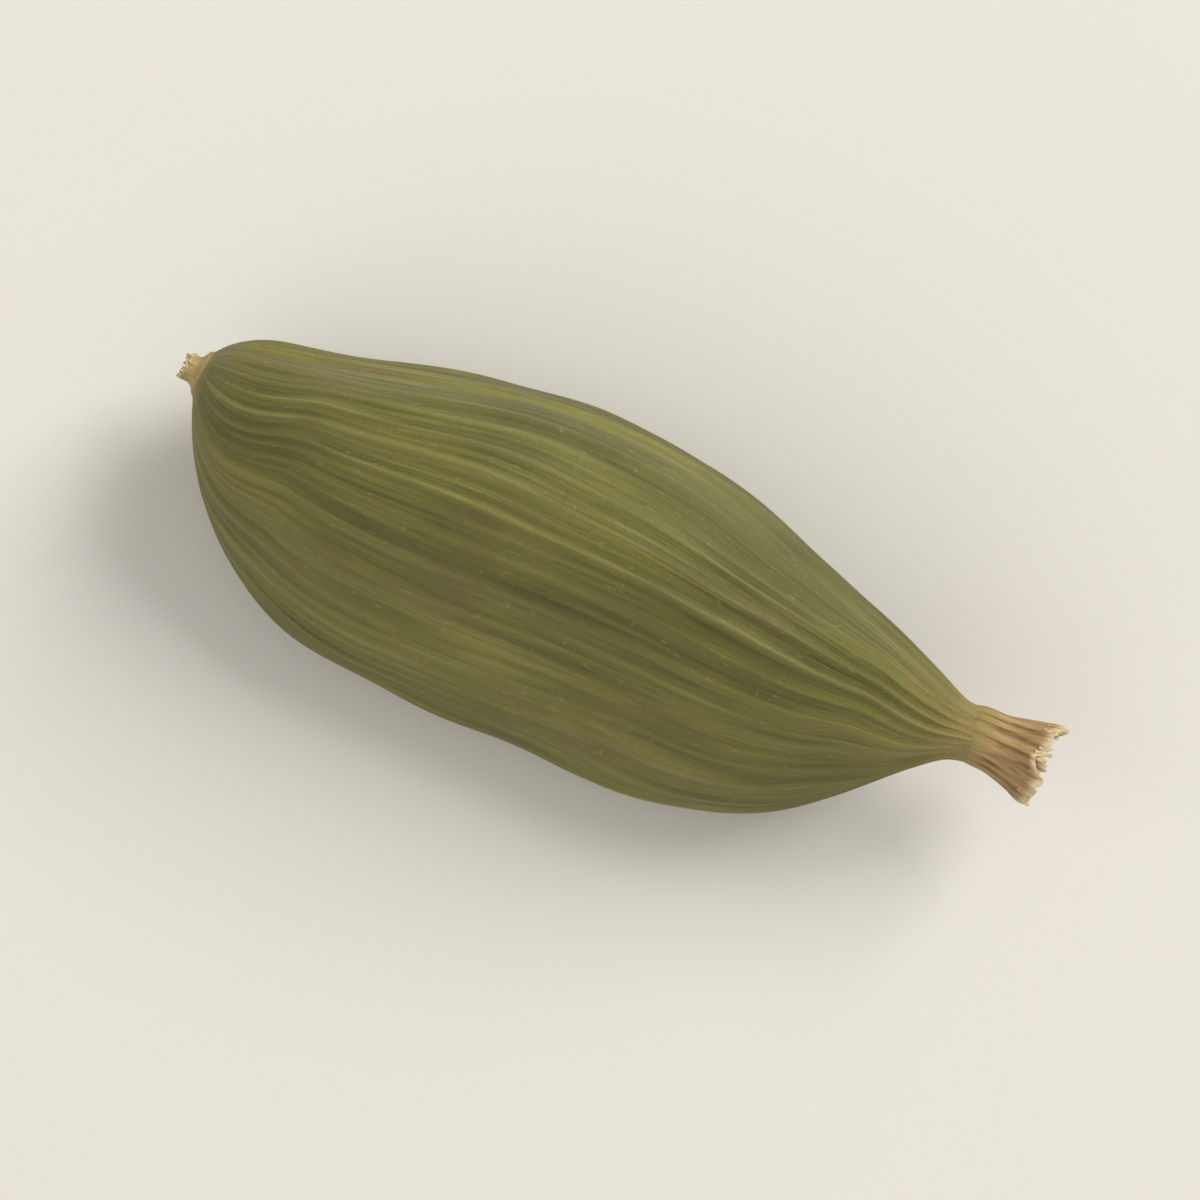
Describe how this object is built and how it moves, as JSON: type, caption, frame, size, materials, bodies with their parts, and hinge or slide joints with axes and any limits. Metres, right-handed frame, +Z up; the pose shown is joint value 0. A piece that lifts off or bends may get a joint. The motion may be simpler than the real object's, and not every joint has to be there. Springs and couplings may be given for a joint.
{
  "type": "green cardamom pod",
  "caption": "Dried green cardamom pod: a three-sided ribbed seed capsule with its stalk stub and dried calyx tube, lying on its side.",
  "frame": {"origin": "on the surface that the pod lies on, under the middle of its outline", "axes": "+X from the stalk end to the calyx end, +Y to the side that the upper ridge leans to, +Z up"},
  "size_m": [0.0188, 0.007, 0.0058],
  "materials": {
    "green_husk": "satin, fibrous, dried",
    "dry_stalk": "matt, fibrous",
    "papery_calyx": "matt, papery"
  },
  "bodies": {
    "root": {"seed_capsule": "green_husk", "stalk_stub": "dry_stalk", "calyx_tube": "papery_calyx"}
  },
  "joints": []
}
